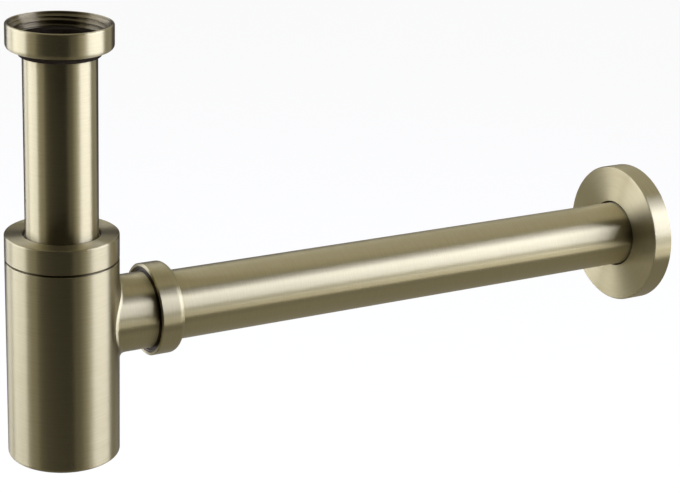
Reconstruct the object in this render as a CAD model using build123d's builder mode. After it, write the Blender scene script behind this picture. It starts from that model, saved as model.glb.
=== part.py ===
import os

from build123d import *

os.makedirs("parts", exist_ok=True)

# All sizes are in millimetres, +Z is up
# Heights count from the top of the inlet washer, where the tail of the basin waste seats
# Reaches count from the inlet axis along +X, the way the outlet runs

# Distance within which an edge counts as lying at a given height or reach
edge_tolerance = 0.01

# Tubes
tube_radius = 16.0
tube_wall = 1.2
tube_bore = tube_radius - tube_wall
tube_end_chamfer = 0.4
tube_play = 0.35
guide_radius = tube_radius + tube_play
seal_play = 0.05
seal_bore = tube_radius + seal_play
seal_gap = 0.03

# Inlet nut, with the root of a 1 1/4 inch pipe thread in its mouth
nut_radius = 23.0
nut_mouth_z = 6.3
nut_foot_z = -4.9
nut_thread_root = 20.955
nut_thread_top_z = 4.5
nut_recess_radius = 21.8
nut_recess_z = 5.2
nut_pocket_radius = 19.5
nut_hole_radius = 17.25
nut_foot_fillet = 2.3
nut_mouth_fillet = 0.8
nut_mouth_chamfer = 0.2

# Black bush in the hole of the inlet nut, with a lip under the nut
bush_radius = 17.2
bush_play = 0.15
bush_bore = tube_radius + bush_play
bush_top_z = -3.7
bush_lip_radius = 17.6
bush_foot_z = -7.6
bush_foot_chamfer = 0.2

# Washer and rolled rim at the head of the inlet tube
washer_thickness = 2.0
rim_thickness = 1.6
rim_radius = 19.2
rim_edge_fillet = 0.4
rim_seat_z = -washer_thickness - rim_thickness

# Bottle
outlet_z = -129.1
bottle_radius = 25.0
bottle_wall = 2.0
bottle_bore = bottle_radius - bottle_wall
base_z = -191.2
base_thickness = 2.4
base_fillet = 1.8
floor_fillet = 1.5
floor_z = base_z + base_thickness
seam_z = -98.9
seam_gap = 1.0
seam_chamfer = 0.2
head_thickness = 4.0
dip_height = 13.0

# Threaded neck under the cap ring, at the root of its thread
neck_radius = 22.05
neck_top_z = -91.2
neck_relief_radius = 21.7
neck_relief_height = 1.5
neck_seat_top = 20.2
neck_seat_foot = 17.9
neck_seat_z = -97.1

# Cap ring and what it presses on
cap_top_z = -86.8
cap_top_thickness = 2.6
cap_hole_radius = 17.0
cap_bore = 23.1
cap_top_fillet = 0.7
cap_hole_chamfer = 0.4
slip_ring_thickness = 1.4
slip_ring_radius = 20.8
cap_seat_z = cap_top_z - cap_top_thickness
cap_seal_top_z = cap_seat_z - slip_ring_thickness

# Branch of the bottle, with the thread collar at its mouth
branch_radius = 17.5
branch_fillet = 2.8
collar_radius = 18.55
collar_start_x = 40.6
collar_mouth_x = 46.8
collar_chamfer = 0.4
branch_seat_x = 41.2
branch_seat_mouth = 17.75

# Outlet nut and what it presses on
outlet_nut_radius = 21.15
outlet_nut_start_x = 39.0
outlet_nut_end_x = 50.7
outlet_nut_end_wall = 2.4
outlet_nut_bore = 19.55
outlet_nut_fillet = 3.2
outlet_nut_edge_chamfer = 0.4
outlet_nut_mouth_chamfer = 0.3
outlet_slip_thickness = 1.2
outlet_slip_radius = 18.9
outlet_seat_x = outlet_nut_end_x - outlet_nut_end_wall
outlet_seal_end_x = outlet_seat_x - outlet_slip_thickness

# Outlet tube, whose tail is turned down a little to enter the wall socket
outlet_tube_start_x = 28.0
outlet_tube_end_x = 328.0
tail_radius = 15.75
tail_length = 10.5
tail_chamfer = 0.6

# Wall flange, a hollow cover with a sleeve that slides loosely on the outlet tube
flange_radius = 35.0
flange_front_x = 305.5
flange_depth = 10.5
flange_plate = 1.6
flange_rim_wall = 1.5
flange_hole_radius = 16.9
flange_sleeve_wall = 1.6
flange_sleeve_depth = 9.0
flange_edge_fillet = 0.7
flange_hole_fillet = 0.2
flange_inner_fillet = 1.0
flange_plate_x = flange_front_x + flange_plate

outlet_axis = Axis((0, 0, outlet_z), (1, 0, 0))
outlet_plane = Plane(origin=(0, 0, outlet_z), x_dir=(0, 1, 0), z_dir=(1, 0, 0))

# Inlet nut: recessed mouth, thread, plain pocket for the washer and rim, shoulder under the rim
with BuildPart() as inlet_nut:
    with BuildSketch(Plane.XZ):
        with BuildLine():
            Polyline(
                (nut_recess_radius, nut_mouth_z),
                (nut_radius, nut_mouth_z),
                (nut_radius, nut_foot_z),
                (nut_hole_radius, nut_foot_z),
                (nut_hole_radius, rim_seat_z),
                (nut_pocket_radius, rim_seat_z),
                (nut_pocket_radius, 0),
                (nut_thread_root, 0),
                (nut_thread_root, nut_thread_top_z),
                (nut_recess_radius, nut_recess_z),
                close=True,
            )
        make_face()
    revolve(axis=Axis.Z)
    mouth_edges = inlet_nut.edges().filter_by(GeomType.CIRCLE).group_by(Axis.Z)[-1]
    fillet(mouth_edges.sort_by(SortBy.RADIUS)[-1], nut_mouth_fillet)
    mouth_edges = inlet_nut.edges().filter_by(GeomType.CIRCLE).group_by(Axis.Z)[-1]
    chamfer(mouth_edges.sort_by(SortBy.RADIUS)[0], nut_mouth_chamfer)
    foot_edges = inlet_nut.edges().filter_by(GeomType.CIRCLE).filter_by_position(
        Axis.Z, nut_foot_z - edge_tolerance, nut_foot_z + edge_tolerance
    )
    fillet(foot_edges.sort_by(SortBy.RADIUS)[-1], nut_foot_fillet)

# Bush that guides the inlet tube through the nut
with BuildPart() as nut_bush:
    with BuildSketch(Plane.XZ):
        with BuildLine():
            Polyline(
                (bush_bore, bush_top_z),
                (bush_radius, bush_top_z),
                (bush_radius, nut_foot_z),
                (bush_lip_radius, nut_foot_z),
                (bush_lip_radius, bush_foot_z),
                (bush_bore, bush_foot_z),
                close=True,
            )
        make_face()
    revolve(axis=Axis.Z)
    foot_edges = nut_bush.edges().filter_by(GeomType.CIRCLE).group_by(Axis.Z)[0]
    chamfer(foot_edges.sort_by(SortBy.RADIUS)[-1], bush_foot_chamfer)

# Flat rubber washer on the rim of the inlet tube
with BuildPart() as inlet_washer:
    with BuildSketch(Plane.XY.offset(-washer_thickness)):
        Circle(rim_radius)
        Circle(tube_bore, mode=Mode.SUBTRACT)
    extrude(amount=washer_thickness)

# Inlet tube: rim at its head, open foot dipping into the bottle
with BuildPart() as inlet_tube:
    with BuildSketch(Plane.XY.offset(rim_seat_z)):
        Circle(rim_radius)
    extrude(amount=rim_thickness)
    fillet(inlet_tube.edges().filter_by(GeomType.CIRCLE), rim_edge_fillet)
    with BuildSketch(Plane.XY.offset(floor_z + dip_height)):
        Circle(tube_radius)
    extrude(until=Until.NEXT)
    with BuildSketch(Plane.XY.offset(floor_z + dip_height)):
        Circle(tube_bore)
    extrude(amount=-washer_thickness - floor_z - dip_height, mode=Mode.SUBTRACT)
    foot = inlet_tube.edges().filter_by(GeomType.CIRCLE).group_by(Axis.Z)[0]
    chamfer(foot, tube_end_chamfer)

# Bottle: one brazed body of cup, threaded neck and side branch
with BuildPart() as bottle_body:
    with BuildSketch(Plane.XZ):
        with BuildLine():
            Polyline(
                (0, base_z),
                (bottle_radius, base_z),
                (bottle_radius, seam_z),
                (neck_relief_radius, seam_z),
                (neck_relief_radius, seam_z + neck_relief_height),
                (neck_radius, seam_z + neck_relief_height),
                (neck_radius, neck_top_z),
                (0, neck_top_z),
                close=True,
            )
        make_face()
    revolve(axis=Axis.Z)
    fillet(bottle_body.edges().filter_by(GeomType.CIRCLE).group_by(Axis.Z)[0], base_fillet)
    seam_edges = bottle_body.edges().filter_by(GeomType.CIRCLE).filter_by_position(
        Axis.Z, seam_z - edge_tolerance, seam_z + edge_tolerance
    )
    chamfer(seam_edges.sort_by(SortBy.RADIUS)[-1], seam_chamfer)
    with BuildSketch(outlet_plane):
        Circle(branch_radius)
    extrude(amount=collar_start_x)
    fillet(bottle_body.edges().filter_by(GeomType.BSPLINE), branch_fillet)
    with BuildSketch(outlet_plane.offset(collar_start_x)):
        Circle(collar_radius)
    extrude(amount=collar_mouth_x - collar_start_x)
    chamfer(bottle_body.edges().filter_by(GeomType.CIRCLE).group_by(Axis.X)[-1], collar_chamfer)
    with BuildSketch(Plane.XZ):
        with BuildLine():
            Polyline(
                (0, floor_z),
                (bottle_bore, floor_z),
                (bottle_bore, seam_z - head_thickness),
                (guide_radius, seam_z - head_thickness),
                (guide_radius, neck_seat_z),
                (neck_seat_foot, neck_seat_z),
                (neck_seat_top, neck_top_z),
                (0, neck_top_z),
                close=True,
            )
        make_face()
    revolve(axis=Axis.Z, mode=Mode.SUBTRACT)
    floor_edges = bottle_body.edges().filter_by(GeomType.CIRCLE).filter_by_position(
        Axis.Z, floor_z - edge_tolerance, floor_z + edge_tolerance
    )
    fillet(floor_edges, floor_fillet)
    with BuildSketch(outlet_plane):
        Circle(guide_radius)
    extrude(amount=branch_seat_x, mode=Mode.SUBTRACT)
    with BuildSketch(Plane.XZ):
        with BuildLine():
            Polyline(
                (branch_seat_x, outlet_z),
                (branch_seat_x, outlet_z + guide_radius + seal_gap),
                (collar_mouth_x, outlet_z + branch_seat_mouth),
                (collar_mouth_x, outlet_z),
                close=True,
            )
        make_face()
    revolve(axis=outlet_axis, mode=Mode.SUBTRACT)

# Tapered rubber seal in the seat of the neck
with BuildPart() as cap_seal:
    with BuildSketch(Plane.XZ):
        with BuildLine():
            Polyline(
                (seal_bore, neck_seat_z),
                (neck_seat_foot - seal_gap, neck_seat_z),
                (neck_seat_top - seal_gap, neck_top_z),
                (neck_seat_top - seal_gap, cap_seal_top_z),
                (seal_bore, cap_seal_top_z),
                close=True,
            )
        make_face()
    revolve(axis=Axis.Z)

# Nylon slip ring between the seal and the cap ring
with BuildPart() as cap_slip_ring:
    with BuildSketch(Plane.XY.offset(cap_seal_top_z)):
        Circle(slip_ring_radius)
        Circle(guide_radius, mode=Mode.SUBTRACT)
    extrude(amount=slip_ring_thickness)

# Cap ring: screws down on the neck, with an open hole round the inlet tube
with BuildPart() as cap_ring:
    with BuildSketch(Plane.XZ):
        with BuildLine():
            Polyline(
                (cap_bore, seam_z + seam_gap),
                (bottle_radius, seam_z + seam_gap),
                (bottle_radius, cap_top_z),
                (cap_hole_radius, cap_top_z),
                (cap_hole_radius, cap_seat_z),
                (cap_bore, cap_seat_z),
                close=True,
            )
        make_face()
    revolve(axis=Axis.Z)
    crown_edges = cap_ring.edges().filter_by(GeomType.CIRCLE).group_by(Axis.Z)[-1]
    fillet(crown_edges.sort_by(SortBy.RADIUS)[-1], cap_top_fillet)
    crown_edges = cap_ring.edges().filter_by(GeomType.CIRCLE).group_by(Axis.Z)[-1]
    chamfer(crown_edges.sort_by(SortBy.RADIUS)[0], cap_hole_chamfer)
    foot_edges = cap_ring.edges().filter_by(GeomType.CIRCLE).group_by(Axis.Z)[0]
    chamfer(foot_edges.sort_by(SortBy.RADIUS)[-1], seam_chamfer)

# Tapered rubber seal in the mouth of the branch
with BuildPart() as outlet_seal:
    with BuildSketch(Plane.XZ):
        with BuildLine():
            Polyline(
                (branch_seat_x, outlet_z + seal_bore),
                (branch_seat_x, outlet_z + guide_radius),
                (collar_mouth_x, outlet_z + branch_seat_mouth - seal_gap),
                (outlet_seal_end_x, outlet_z + branch_seat_mouth - seal_gap),
                (outlet_seal_end_x, outlet_z + seal_bore),
                close=True,
            )
        make_face()
    revolve(axis=outlet_axis)

# Nylon slip ring between the seal and the outlet nut
with BuildPart() as outlet_slip_ring:
    with BuildSketch(outlet_plane.offset(outlet_seal_end_x)):
        Circle(outlet_slip_radius)
        Circle(guide_radius, mode=Mode.SUBTRACT)
    extrude(amount=outlet_slip_thickness)

# Outlet nut: open towards the bottle, closed round the outlet tube
with BuildPart() as outlet_nut:
    with BuildSketch(Plane.XZ):
        with BuildLine():
            Polyline(
                (outlet_nut_start_x, outlet_z + outlet_nut_bore),
                (outlet_nut_start_x, outlet_z + outlet_nut_radius),
                (outlet_nut_end_x, outlet_z + outlet_nut_radius),
                (outlet_nut_end_x, outlet_z + guide_radius),
                (outlet_seat_x, outlet_z + guide_radius),
                (outlet_seat_x, outlet_z + outlet_nut_bore),
                close=True,
            )
        make_face()
    revolve(axis=outlet_axis)
    end_edges = outlet_nut.edges().filter_by(GeomType.CIRCLE).group_by(Axis.X)[-1]
    fillet(end_edges.sort_by(SortBy.RADIUS)[-1], outlet_nut_fillet)
    mouth_edges = outlet_nut.edges().filter_by(GeomType.CIRCLE).group_by(Axis.X)[0]
    chamfer(mouth_edges.sort_by(SortBy.RADIUS)[-1], outlet_nut_edge_chamfer)
    mouth_edges = outlet_nut.edges().filter_by(GeomType.CIRCLE).group_by(Axis.X)[0]
    chamfer(mouth_edges.sort_by(SortBy.RADIUS)[0], outlet_nut_mouth_chamfer)

# Outlet tube: straight, from inside the branch to its tail in the wall
with BuildPart() as outlet_tube:
    with BuildSketch(outlet_plane.offset(outlet_tube_start_x)):
        Circle(tube_radius)
    extrude(amount=outlet_tube_end_x - tail_length - outlet_tube_start_x)
    with BuildSketch(outlet_plane.offset(outlet_tube_end_x - tail_length)):
        Circle(tail_radius)
    extrude(amount=tail_length)
    with BuildSketch(outlet_plane.offset(outlet_tube_start_x)):
        Circle(tube_bore)
    extrude(amount=outlet_tube_end_x - outlet_tube_start_x, mode=Mode.SUBTRACT)
    end_edges = outlet_tube.edges().filter_by(GeomType.CIRCLE).group_by(Axis.X)
    chamfer(end_edges[-1].sort_by(SortBy.RADIUS)[-1], tail_chamfer)
    chamfer(end_edges[0].sort_by(SortBy.RADIUS)[-1], tube_end_chamfer)

# Wall flange: front plate, a rim that reaches back to the wall, and a sleeve round the tube
with BuildPart() as wall_flange:
    with BuildSketch(outlet_plane.offset(flange_front_x)):
        Circle(flange_radius)
    extrude(amount=flange_depth)
    with BuildSketch(outlet_plane.offset(flange_plate_x)):
        Circle(flange_radius - flange_rim_wall)
    extrude(amount=flange_depth - flange_plate, mode=Mode.SUBTRACT)
    fillet(wall_flange.edges().filter_by(GeomType.CIRCLE).group_by(Axis.X)[0], flange_edge_fillet)
    inner_edges = wall_flange.edges().filter_by(GeomType.CIRCLE).filter_by_position(
        Axis.X, flange_plate_x - edge_tolerance, flange_plate_x + edge_tolerance
    )
    fillet(inner_edges, flange_inner_fillet)
    with BuildSketch(outlet_plane.offset(flange_plate_x)):
        Circle(flange_hole_radius + flange_sleeve_wall)
    extrude(amount=flange_sleeve_depth - flange_plate)
    with BuildSketch(outlet_plane.offset(flange_front_x)):
        Circle(flange_hole_radius)
    extrude(amount=flange_sleeve_depth, mode=Mode.SUBTRACT)
    hole_edges = wall_flange.edges().filter_by(GeomType.CIRCLE).group_by(Axis.X)[0]
    fillet(hole_edges.sort_by(SortBy.RADIUS)[0], flange_hole_fillet)

inlet_nut.part.label = "inlet_nut"
export_step(inlet_nut.part, "parts/inlet_nut.step")
nut_bush.part.label = "nut_bush"
export_step(nut_bush.part, "parts/nut_bush.step")
inlet_washer.part.label = "inlet_washer"
export_step(inlet_washer.part, "parts/inlet_washer.step")
inlet_tube.part.label = "inlet_tube"
export_step(inlet_tube.part, "parts/inlet_tube.step")
bottle_body.part.label = "bottle_body"
export_step(bottle_body.part, "parts/bottle_body.step")
cap_seal.part.label = "cap_seal"
export_step(cap_seal.part, "parts/cap_seal.step")
cap_slip_ring.part.label = "cap_slip_ring"
export_step(cap_slip_ring.part, "parts/cap_slip_ring.step")
cap_ring.part.label = "cap_ring"
export_step(cap_ring.part, "parts/cap_ring.step")
outlet_seal.part.label = "outlet_seal"
export_step(outlet_seal.part, "parts/outlet_seal.step")
outlet_slip_ring.part.label = "outlet_slip_ring"
export_step(outlet_slip_ring.part, "parts/outlet_slip_ring.step")
outlet_nut.part.label = "outlet_nut"
export_step(outlet_nut.part, "parts/outlet_nut.step")
outlet_tube.part.label = "outlet_tube"
export_step(outlet_tube.part, "parts/outlet_tube.step")
wall_flange.part.label = "wall_flange"
export_step(wall_flange.part, "parts/wall_flange.step")
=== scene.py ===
import bpy
import math
from mathutils import Matrix, Vector


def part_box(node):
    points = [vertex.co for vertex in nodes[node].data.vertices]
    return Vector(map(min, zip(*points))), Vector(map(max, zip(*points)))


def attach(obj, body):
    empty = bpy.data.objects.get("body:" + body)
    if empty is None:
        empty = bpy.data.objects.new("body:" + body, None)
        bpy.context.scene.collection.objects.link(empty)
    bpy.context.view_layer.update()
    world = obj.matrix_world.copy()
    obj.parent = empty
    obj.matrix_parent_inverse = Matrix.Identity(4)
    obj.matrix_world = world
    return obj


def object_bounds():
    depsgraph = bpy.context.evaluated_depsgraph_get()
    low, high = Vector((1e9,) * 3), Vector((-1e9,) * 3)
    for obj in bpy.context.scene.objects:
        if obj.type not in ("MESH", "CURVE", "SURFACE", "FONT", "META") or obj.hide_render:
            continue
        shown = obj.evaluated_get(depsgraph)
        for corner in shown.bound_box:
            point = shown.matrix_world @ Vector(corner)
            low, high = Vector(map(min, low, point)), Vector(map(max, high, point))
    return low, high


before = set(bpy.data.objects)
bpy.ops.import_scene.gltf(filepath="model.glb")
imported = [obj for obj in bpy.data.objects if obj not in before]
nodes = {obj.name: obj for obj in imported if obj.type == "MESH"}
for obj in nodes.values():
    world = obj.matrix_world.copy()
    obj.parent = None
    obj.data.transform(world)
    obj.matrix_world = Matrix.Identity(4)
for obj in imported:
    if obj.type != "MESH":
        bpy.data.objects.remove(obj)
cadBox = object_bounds()
scene = bpy.context.scene
print("frame loaded:", len(nodes), "nodes")

mm = 0.001
tubeLow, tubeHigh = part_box("outlet_tube")
outletHeight = (tubeLow.z + tubeHigh.z) / 2  # height of the outlet axis
upright = {
    "axis": (0, 0, 1), "across": (1, 1, 0),
    "u": (1, 0, 0), "v": (0, 1, 0),
    "centre": (0, 0, 0),
}
level = {
    "axis": (1, 0, 0), "across": (0, 1, 1),
    "u": (0, 1, 0), "v": (0, 0, 1),
    "centre": (0, 0, outletHeight),
}


# node helpers


def put(tree, kind, x, y, **values):
    node = tree.nodes.new(kind)
    node.location = (x, y)
    for key, value in values.items():
        setattr(node, key, value)
    return node


def feed(tree, socket, value):
    if isinstance(value, bpy.types.NodeSocket):
        tree.links.new(value, socket)
    elif value is not None:
        socket.default_value = value


def vectorStep(tree, operation, x, y, first, second=None):
    node = put(tree, "ShaderNodeVectorMath", x, y, operation=operation)
    for socket, value in zip(node.inputs, (first, second)):
        feed(tree, socket, value)
    return node.outputs["Value" if operation in ("LENGTH", "DOT_PRODUCT") else "Vector"]


def mathStep(tree, operation, x, y, first, second):
    node = put(tree, "ShaderNodeMath", x, y, operation=operation)
    for socket, value in zip(node.inputs, (first, second)):
        feed(tree, socket, value)
    return node.outputs[0]


def rangeStep(tree, x, y, value, fromRange, toRange, curve="LINEAR"):
    node = put(tree, "ShaderNodeMapRange", x, y, interpolation_type=curve)
    feed(tree, node.inputs["Value"], value)
    for name, number in zip(("From Min", "From Max", "To Min", "To Max"), (*fromRange, *toRange)):
        feed(tree, node.inputs[name], number)
    return node.outputs[0]


def mixStep(tree, kind, x, y, factor, first, second):
    node = put(tree, "ShaderNodeMix", x, y, data_type=kind)
    firstSpot, secondSpot, resultSpot = {"FLOAT": (2, 3, 0), "VECTOR": (4, 5, 1), "RGBA": (6, 7, 2)}[kind]
    feed(tree, node.inputs[0], factor)
    feed(tree, node.inputs[firstSpot], first)
    feed(tree, node.inputs[secondSpot], second)
    return node.outputs[resultSpot]


def newMaterial(name):
    material = bpy.data.materials.new(name)
    material.use_nodes = True
    return material


# brushed bronze

bronze = {
    "tone": (0.345, 0.293, 0.156, 1.0),
    "toneDeep": (0.300, 0.253, 0.129, 1.0),
    # tones for bores, the inlet nut's mouth and the joints under the nuts: partly the duller inside finish,
    # partly painted shade
    "toneInsideShade": (0.100, 0.078, 0.044, 1.0),
    "toneMouthShade": (0.205, 0.169, 0.092, 1.0),
    "toneJointShade": (0.075, 0.060, 0.034, 1.0),
    "roughness": (0.34, 0.42),
    "roughInside": 0.42,
    "anisotropic": 1.0,
    "brushTurn": 0.25,
    "lineWidth": 0.35 * mm,
    "lineRange": (0.3, 0.7),
    "lineTurns": 2.6,
    "hairWidth": 0.09 * mm,
    "grooveDepth": 0.012 * mm,
    "grooveStrength": 0.35,
    "noise": {"Scale": 1.0, "Detail": 2.0, "Roughness": 0.55},
    "branchBlend": (25.2 * mm, 26.6 * mm),  # just past the bottle's wall
}


def brushField(tree, coords, way, y):
    place = vectorStep(tree, "SUBTRACT", -1700, y, coords, way["centre"])
    flat = vectorStep(tree, "MULTIPLY", -1500, y, place, way["across"])
    radius = vectorStep(tree, "LENGTH", -1300, y - 60, flat)
    unit = vectorStep(tree, "NORMALIZE", -1300, y + 60, flat)
    along = vectorStep(tree, "DOT_PRODUCT", -1500, y - 160, place, way["axis"])
    tangent = vectorStep(tree, "CROSS_PRODUCT", -1100, y + 120, way["axis"], unit)
    sideU = vectorStep(tree, "DOT_PRODUCT", -1100, y - 20, unit, way["u"])
    sideV = vectorStep(tree, "DOT_PRODUCT", -1100, y - 160, unit, way["v"])
    field = {"tangent": tangent, "radius": radius, "along": along}
    for key, width, row in (("line", bronze["lineWidth"], y), ("hair", bronze["hairWidth"], y - 400)):
        pack = put(tree, "ShaderNodeCombineXYZ", -700, row)
        feed(tree, pack.inputs[0], mathStep(tree, "DIVIDE", -900, row + 60, along, width))
        feed(tree, pack.inputs[1], mathStep(tree, "DIVIDE", -900, row - 80, radius, width))
        feed(tree, pack.inputs[2], mathStep(tree, "MULTIPLY", -900, row - 220, sideU, bronze["lineTurns"]))
        noise = put(tree, "ShaderNodeTexNoise", -500, row, noise_dimensions="4D")
        feed(tree, noise.inputs["Vector"], pack.outputs[0])
        feed(tree, noise.inputs["W"], mathStep(tree, "MULTIPLY", -700, row - 160, sideV, bronze["lineTurns"]))
        for name, number in bronze["noise"].items():
            feed(tree, noise.inputs[name], number)
        field[key] = noise.outputs[0]
    return field


# the bronze tones scaled per piece: lit and shaded copies of one bronze, painted light above 1 and painted
# shade below 1
def paintedLightTones(paintedLightScale):
    return [[part * paintedLightScale for part in bronze[key][:3]] + [1.0] for key in ("toneDeep", "tone")]


def brushedBronze(name, way, inside, paintedLightScale=1.0, branchWay=None, branchPaintedLightScale=1.0):
    material = newMaterial(name)
    tree = material.node_tree
    shader = tree.nodes["Principled BSDF"]
    coords = put(tree, "ShaderNodeTexCoord", -2100, 0).outputs["Object"]
    field = brushField(tree, coords, way, 0)
    zone = field
    if branchWay:
        zone = brushField(tree, coords, branchWay, -1100)
        onBranch = rangeStep(tree, -500, 500, field["radius"], bronze["branchBlend"], (0, 1), "SMOOTHSTEP")
        for key, kind in (("tangent", "VECTOR"), ("line", "FLOAT"), ("hair", "FLOAT")):
            field[key] = mixStep(tree, kind, -300, 400, onBranch, field[key], zone[key])
    turned = put(tree, "ShaderNodeVectorTransform", -100, 500,
                 vector_type="VECTOR", convert_from="OBJECT", convert_to="WORLD")
    feed(tree, turned.inputs[0], field["tangent"])
    feed(tree, shader.inputs["Tangent"], turned.outputs[0])
    shade = rangeStep(tree, -300, 0, field["line"], bronze["lineRange"], (0, 1))
    colour = mixStep(tree, "RGBA", -100, 0, shade, *paintedLightTones(paintedLightScale))
    # the branch gets its own painted light, lighter than the bottle's upright body
    if branchWay:
        branchColour = mixStep(tree, "RGBA", -100, 150, shade, *paintedLightTones(branchPaintedLightScale))
        colour = mixStep(tree, "RGBA", 50, 0, onBranch, colour, branchColour)
    rough = rangeStep(tree, -100, -250, field["line"], bronze["lineRange"], bronze["roughness"])
    # a bore or joint gets a darker, rougher tone, partly its duller unbrushed inside finish and partly painted
    # shade where the nuts, the cap and the bores keep the light out: nearer the axis than radius, between
    # start and end along it
    near = mathStep(tree, "LESS_THAN", -100, 250, zone["radius"], inside["radius"] * mm)
    past = mathStep(tree, "GREATER_THAN", -100, 400, zone["along"], inside["start"] * mm)
    short = mathStep(tree, "LESS_THAN", -100, 550, zone["along"], inside["end"] * mm)
    dullAndShadedZone = mathStep(tree, "MULTIPLY", 50, 300, mathStep(tree, "MULTIPLY", 0, 400, near, past), short)
    colour = mixStep(tree, "RGBA", 150, 100, dullAndShadedZone, colour, bronze[inside.get("tone", "toneInsideShade")])
    rough = mixStep(tree, "FLOAT", 150, -250, dullAndShadedZone, rough, bronze["roughInside"])
    bump = put(tree, "ShaderNodeBump", 0, -500)
    feed(tree, bump.inputs["Strength"], bronze["grooveStrength"])
    feed(tree, bump.inputs["Distance"], bronze["grooveDepth"])
    feed(tree, bump.inputs["Height"], field["hair"])
    shader.location = (400, 0)
    tree.nodes["Material Output"].location = (700, 0)
    feed(tree, shader.inputs["Base Color"], colour)
    feed(tree, shader.inputs["Roughness"], rough)
    feed(tree, shader.inputs["Normal"], bump.outputs[0])
    feed(tree, shader.inputs["Metallic"], 1.0)
    feed(tree, shader.inputs["Anisotropic"], bronze["anisotropic"])
    feed(tree, shader.inputs["Anisotropic Rotation"], bronze["brushTurn"])
    return material


# each piece's scale is painted light or shade on one bronze: the level pieces lighter, the upright ones darker
nutInside = {"radius": 21.9, "start": -4.0, "end": 6.2, "tone": "toneMouthShade"}
nutBronze = brushedBronze("nutBronze", upright, nutInside, paintedLightScale=0.94)
tubeInside = {"radius": 15.4, "start": -175.0, "end": 0.0}
tubeBronze = brushedBronze("tubeBronze", upright, tubeInside, paintedLightScale=0.94)
capInside = {"radius": 23.3, "start": -97.8, "end": -87.2}
capBronze = brushedBronze("capBronze", upright, capInside, paintedLightScale=0.85)
branchJoint = {"radius": 18.7, "start": 38.8, "end": 46.9, "tone": "toneJointShade"}
bottleBronze = brushedBronze("bottleBronze", upright, branchJoint, paintedLightScale=0.87, branchWay=level, branchPaintedLightScale=1.08)
outletNutInside = {"radius": 19.7, "start": 39.1, "end": 48.4}
outletNutBronze = brushedBronze("outletNutBronze", level, outletNutInside, paintedLightScale=1.05)
outletInside = {"radius": 15.2, "start": 28.5, "end": 327.0}
outletBronze = brushedBronze("outletBronze", level, outletInside, paintedLightScale=1.12)
flangeInside = {"radius": 33.7, "start": 305.75, "end": 315.8}
flangeBronze = brushedBronze("flangeBronze", level, flangeInside, paintedLightScale=1.06)
neckJoint = {"radius": 23.0, "start": -98.0, "end": -91.0}
neckBronze = brushedBronze("neckBronze", upright, neckJoint)
collarJoint = {"radius": 19.5, "start": 40.0, "end": 47.0}
collarBronze = brushedBronze("collarBronze", level, collarJoint)
print("bronze ready")

# rubber and nylon

rubber = {
    "tone": (0.013, 0.009, 0.005, 1.0), "worn": (0.023, 0.017, 0.010, 1.0),
    "grain": 900.0, "roughness": (0.8, 0.92), "shine": 0.03,
}
nylon = {
    "tone": (0.80, 0.78, 0.72, 1.0), "worn": (0.70, 0.67, 0.60, 1.0),
    "grain": 260.0, "roughness": (0.35, 0.5), "shine": 0.5,
}
mould = {"detail": 4.0, "grainRange": (0.35, 0.65), "bumpStrength": 0.3, "bumpDepth": 0.03 * mm}


def mouldedFinish(name, finish):
    material = newMaterial(name)
    tree = material.node_tree
    shader = tree.nodes["Principled BSDF"]
    noise = put(tree, "ShaderNodeTexNoise", -700, 0)
    feed(tree, noise.inputs["Vector"], put(tree, "ShaderNodeTexCoord", -900, 0).outputs["Object"])
    feed(tree, noise.inputs["Scale"], finish["grain"])
    feed(tree, noise.inputs["Detail"], mould["detail"])
    grain = noise.outputs[0]
    shade = rangeStep(tree, -450, 100, grain, mould["grainRange"], (0, 1))
    colour = mixStep(tree, "RGBA", -200, 100, shade, finish["tone"], finish["worn"])
    rough = rangeStep(tree, -200, -150, grain, mould["grainRange"], finish["roughness"])
    bump = put(tree, "ShaderNodeBump", -200, -400)
    feed(tree, bump.inputs["Strength"], mould["bumpStrength"])
    feed(tree, bump.inputs["Distance"], mould["bumpDepth"])
    feed(tree, bump.inputs["Height"], grain)
    feed(tree, shader.inputs["Base Color"], colour)
    feed(tree, shader.inputs["Roughness"], rough)
    feed(tree, shader.inputs["Normal"], bump.outputs[0])
    feed(tree, shader.inputs["Specular IOR Level"], finish["shine"])
    return material


blackRubber = mouldedFinish("blackRubber", rubber)
whiteNylon = mouldedFinish("whiteNylon", nylon)

finishes = {
    "inlet_nut": nutBronze,
    "inlet_tube": tubeBronze,
    "cap_ring": capBronze,
    "bottle_body": bottleBronze,
    "outlet_nut": outletNutBronze,
    "outlet_tube": outletBronze,
    "wall_flange": flangeBronze,
    "nut_bush": blackRubber,
    "inlet_washer": blackRubber,
    "cap_seal": blackRubber,
    "outlet_seal": blackRubber,
    "cap_slip_ring": whiteNylon,
    "outlet_slip_ring": whiteNylon,
}
for name, material in finishes.items():
    nodes[name].data.materials.clear()
    nodes[name].data.materials.append(material)
print("finishes on", len(finishes), "nodes")

# thread ridges, turned on the plain walls of the nuts, the cap ring, the neck and the collar

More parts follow.
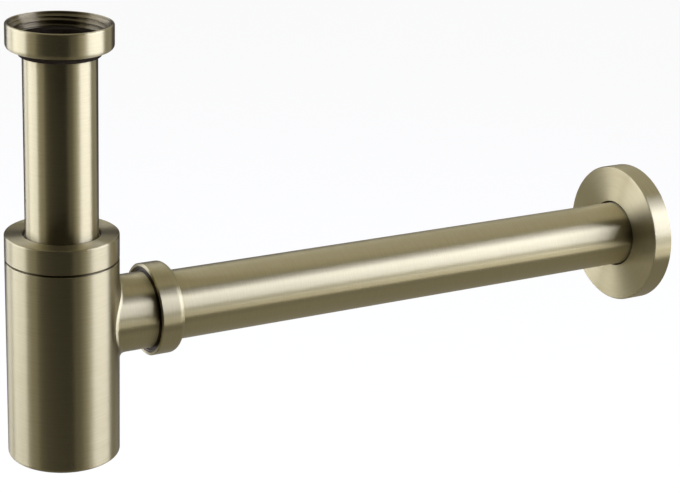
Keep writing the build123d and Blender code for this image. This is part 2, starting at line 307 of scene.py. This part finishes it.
threads = [
    {"name": "nutThread", "body": "inlet_nut", "slot": "bronze_upright", "way": "upright",
     "root": 21.05, "crest": 19.6, "pitch": 2.309, "low": 0.05, "high": 4.45, "shift": 0.0,
     "finish": nutBronze},
    {"name": "neckThread", "body": "bottle", "slot": "bronze_upright", "way": "upright",
     "root": 21.95, "crest": 22.9, "pitch": 1.5, "low": -97.2, "high": -91.3, "shift": 0.0,
     "finish": neckBronze},
    {"name": "capThread", "body": "cap_ring", "slot": "bronze_upright", "way": "upright",
     "root": 23.2, "crest": 22.25, "pitch": 1.5, "low": -97.5, "high": -90.1, "shift": 0.75,
     "finish": capBronze},
    {"name": "collarThread", "body": "bottle", "slot": "bronze_upright", "way": "level",
     "root": 18.45, "crest": 19.4, "pitch": 1.5, "low": 40.9, "high": 46.3, "shift": 0.0,
     "finish": collarBronze},
    {"name": "outletNutThread", "body": "outlet_nut", "slot": "bronze_outlet", "way": "level",
     "root": 19.65, "crest": 18.7, "pitch": 1.5, "low": 39.6, "high": 46.9, "shift": 0.75,
     "finish": outletNutBronze},
]
threadForm = {
    "baseShare": 0.9,  # width of the base and the crest, as shares of the pitch
    "crestShare": 0.16,
    "steps": 96,
    "spare": 1.5,  # turns past each end, cut off again
    "sides": 8,
    "reach": 0.01 * mm,
    "weld": 0.001 * mm,
    "smooth": math.radians(25),
}


def selectWhere(mesh, test):
    bpy.ops.mesh.select_all(action="DESELECT")
    bpy.ops.object.mode_set(mode="OBJECT")
    for vertex in mesh.vertices:
        vertex.select = test(vertex.co)
    bpy.ops.object.mode_set(mode="EDIT")


def threadRidge(spec):
    pitch, root, crest = spec["pitch"] * mm, spec["root"] * mm, spec["crest"] * mm
    low, high = spec["low"] * mm, spec["high"] * mm
    turns = math.ceil((high - low) / pitch + 2 * threadForm["spare"])
    start = math.floor(low / pitch - threadForm["spare"]) * pitch + spec["shift"] * mm
    bpy.ops.object.select_all(action="DESELECT")
    bpy.ops.mesh.primitive_plane_add(
        size=1.0, location=((root + crest) / 2, 0, start), rotation=(math.pi / 2, 0, 0))
    ridge = bpy.context.object
    ridge.name = spec["name"]
    ridge.scale = (abs(root - crest), pitch * threadForm["baseShare"], 1.0)
    bpy.ops.object.transform_apply(location=True, rotation=True, scale=True)
    bpy.ops.object.mode_set(mode="EDIT")
    bpy.ops.mesh.select_all(action="SELECT")
    bpy.ops.mesh.delete(type="ONLY_FACE")
    bpy.ops.mesh.select_mode(type="VERT")
    selectWhere(ridge.data, lambda co: abs(co.x - crest) < threadForm["reach"])
    narrow = threadForm["crestShare"] / threadForm["baseShare"]  # the crest is narrower than the base
    bpy.ops.transform.resize(value=(1, 1, narrow), center_override=(crest, 0, start))
    bpy.ops.object.mode_set(mode="OBJECT")
    helix = ridge.modifiers.new("helix", "SCREW")
    helix.axis = "Z"
    helix.angle = 2 * math.pi
    helix.screw_offset = pitch
    helix.iterations = turns
    helix.steps = threadForm["steps"]
    helix.render_steps = threadForm["steps"]
    bpy.ops.object.modifier_apply(modifier="helix")
    bpy.ops.object.mode_set(mode="EDIT")
    bpy.ops.mesh.select_all(action="SELECT")
    bpy.ops.mesh.fill_holes(sides=threadForm["sides"])
    bpy.ops.mesh.select_mode(type="EDGE")
    for height, clearOuter in ((low, False), (high, True)):  # the ends are faced off square
        bpy.ops.mesh.select_all(action="SELECT")
        bpy.ops.mesh.bisect(
            plane_co=(0, 0, height), plane_no=(0, 0, 1), threshold=threadForm["weld"],
            clear_outer=clearOuter, clear_inner=not clearOuter)
        bpy.ops.mesh.select_non_manifold(
            extend=False, use_wire=False, use_boundary=True,
            use_multi_face=False, use_non_contiguous=False, use_verts=False)
        bpy.ops.mesh.fill(use_beauty=False)
    bpy.ops.mesh.select_all(action="SELECT")
    bpy.ops.mesh.remove_doubles(threshold=threadForm["weld"])
    bpy.ops.mesh.normals_make_consistent(inside=False)
    bpy.ops.object.mode_set(mode="OBJECT")
    if spec["way"] == "level":
        ridge.rotation_euler = (0, math.pi / 2, 0)
        ridge.location = (0, 0, outletHeight)
        bpy.ops.object.transform_apply(location=True, rotation=True, scale=True)
    bpy.ops.object.shade_smooth_by_angle(angle=threadForm["smooth"])
    ridge.data.materials.clear()
    ridge.data.materials.append(spec["finish"])
    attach(ridge, spec["body"])
    return ridge


for spec in threads:
    made = threadRidge(spec)
    print(made.name, len(made.data.polygons), "faces")

# camera

camera = {
    "lens": 98.168,
    "sensor": 36.0,
    "reach": 50.0,
    "place": Vector((-284.21, -717.05, 179.91)) * mm,
    "right": Vector((0.866493, -0.497649, 0.039174)),
    "up": Vector((0.133347, 0.306375, 0.942525)),
    "back": Vector((-0.481048, -0.811468, 0.331832)),
}
view = bpy.data.cameras.new("view")
view.lens = camera["lens"]
view.sensor_width = camera["sensor"]
view.clip_end = camera["reach"]
viewer = bpy.data.objects.new("view", view)
scene.collection.objects.link(viewer)
viewAxes = Matrix((camera["right"], camera["up"], camera["back"])).transposed().to_4x4()
viewer.matrix_world = Matrix.Translation(camera["place"]) @ viewAxes
scene.camera = viewer
scene.view_settings.view_transform = "Standard"
print("camera set")

# studio: a white room, soft boxes beside the part, and dark cards that its metal mirrors

studio = {
    "centre": Vector((0.13, 0.0, -0.11)),
    "worldLevel": 1.0,
    "fillLevel": 0.7,
    "floorDrop": 0.35,
    "floorSize": 14.0,
    "floorTone": (0.9, 0.9, 0.9, 1.0),
    "floorGlow": 0.9,
}
cameraTurn = math.atan2(camera["back"].y, camera["back"].x)  # heading of the camera round the part


def wayTo(turn, rise):
    heading, slope = cameraTurn + math.radians(turn), math.radians(rise)
    flat = math.cos(slope)
    return Vector((math.cos(heading) * flat, math.sin(heading) * flat, math.sin(slope)))


def seenRays(tree):
    rays = put(tree, "ShaderNodeLightPath", -900, 0).outputs
    seen = mathStep(tree, "MAXIMUM", -700, 100, rays["Is Camera Ray"], rays["Is Glossy Ray"])
    return mathStep(tree, "MAXIMUM", -500, 0, seen, rays["Is Transmission Ray"])


world = bpy.data.worlds.new("studio")
scene.world = world
world.use_nodes = True
sky = world.node_tree
sky.nodes.clear()
skyLevel = rangeStep(sky, -300, 0, seenRays(sky), (0, 1), (studio["fillLevel"], studio["worldLevel"]))
glow = put(sky, "ShaderNodeBackground", 0, 0)
feed(sky, glow.inputs["Strength"], skyLevel)
feed(sky, put(sky, "ShaderNodeOutputWorld", 200, 0).inputs[0], glow.outputs[0])

softBoxes = [
    {"name": "leftBox", "turn": -83, "rise": 5, "away": 1.3,
     "wide": 0.85, "high": 1.8, "level": 4.15, "tint": (0.90, 1.0, 1.50)},
    {"name": "backBox", "turn": -118, "rise": 12, "away": 1.6,
     "wide": 0.75, "high": 1.8, "level": 2.6, "tint": (0.91, 1.0, 1.42)},
    {"name": "rightBox", "turn": 87, "rise": 20.5, "away": 1.3,
     "wide": 1.14, "high": 0.92, "level": 7.3, "tint": (0.89, 1.0, 1.62)},
    {"name": "sideBox", "turn": 88, "rise": -6, "away": 1.3,
     "wide": 0.95, "high": 0.32, "level": 3.5, "tint": (0.91, 1.0, 1.45)},
    {"name": "bounceBox", "turn": 78, "rise": -22, "away": 1.0,
     "wide": 1.0, "high": 0.42, "level": 1.9, "tint": (0.95, 1.0, 1.25)},
]
for box in softBoxes:
    way = wayTo(box["turn"], box["rise"])
    lamp = bpy.data.lights.new(box["name"], "AREA")
    lamp.shape = "RECTANGLE"
    lamp.size = box["wide"]
    lamp.size_y = box["high"]
    lamp.energy = box["level"] * math.pi * box["wide"] * box["high"]
    lamp.color = box["tint"]
    holder = bpy.data.objects.new(box["name"], lamp)
    scene.collection.objects.link(holder)
    holder.visible_camera = False
    holder.location = studio["centre"] + way * box["away"]
    holder.rotation_euler = way.to_track_quat("Z", "Y").to_euler()

flags = [
    {"name": "frontFlag", "turn": 0, "rise": 0, "away": 1.2, "wide": 2.2, "high": 5.0, "level": 0.018},
    {"name": "backFlag", "turn": -170, "rise": -12, "away": 1.1, "wide": 2.26, "high": 1.5, "level": 0.1},
    {"name": "topFlag", "turn": 57, "rise": 52, "away": 1.2, "wide": 0.8, "high": 0.45, "level": 0.15},
]
lowFlags = [
    {"name": "lowFlag", "place": (0.3, -0.1, -0.5), "wide": 3.6, "high": 1.3, "level": 0.5},
    {"name": "frontLowFlag", "place": (-0.5, -0.85, -0.49), "wide": 1.0, "high": 0.9, "level": 0.05},
]


def plainGlow(name, strength):
    material = newMaterial(name)
    tree = material.node_tree
    tree.nodes.clear()
    light = put(tree, "ShaderNodeEmission", 0, 0)
    feed(tree, light.inputs["Strength"], strength)
    feed(tree, put(tree, "ShaderNodeOutputMaterial", 200, 0).inputs[0], light.outputs[0])
    return material


def addCard(spec, place, turn):
    bpy.ops.object.select_all(action="DESELECT")
    bpy.ops.mesh.primitive_plane_add(size=1.0, location=place)
    card = bpy.context.object
    card.name = spec["name"]
    card.rotation_euler = turn
    card.scale = (spec["wide"], spec["high"], 1.0)
    card.data.materials.append(plainGlow(spec["name"], spec["level"]))
    card.visible_camera = False
    card.visible_diffuse = False
    card.visible_shadow = False
    card.visible_transmission = False


for flag in flags:
    way = wayTo(flag["turn"], flag["rise"])
    addCard(flag, studio["centre"] + way * flag["away"], way.to_track_quat("Z", "Y").to_euler())
for flag in lowFlags:
    addCard(flag, flag["place"], (0, 0, 0))

floorHeight = cadBox[0][2] - studio["floorDrop"]
bpy.ops.object.select_all(action="DESELECT")
bpy.ops.mesh.primitive_plane_add(size=studio["floorSize"], location=(0, 0, floorHeight))
floor = bpy.context.object
floor.name = "floor"
floorTone = newMaterial("floorTone")
ground = floorTone.node_tree
ground.nodes.clear()
matt = put(ground, "ShaderNodeBsdfDiffuse", -200, 150)
feed(ground, matt.inputs["Color"], studio["floorTone"])
white = put(ground, "ShaderNodeEmission", -200, -50)
join = put(ground, "ShaderNodeMixShader", 0, 0)
feed(ground, join.inputs[0], rangeStep(ground, -300, 300, seenRays(ground), (0, 1), (0, studio["floorGlow"])))
feed(ground, join.inputs[1], matt.outputs[0])
feed(ground, join.inputs[2], white.outputs[0])
feed(ground, put(ground, "ShaderNodeOutputMaterial", 200, 0).inputs[0], join.outputs[0])
floor.data.materials.append(floorTone)
print("studio ready")
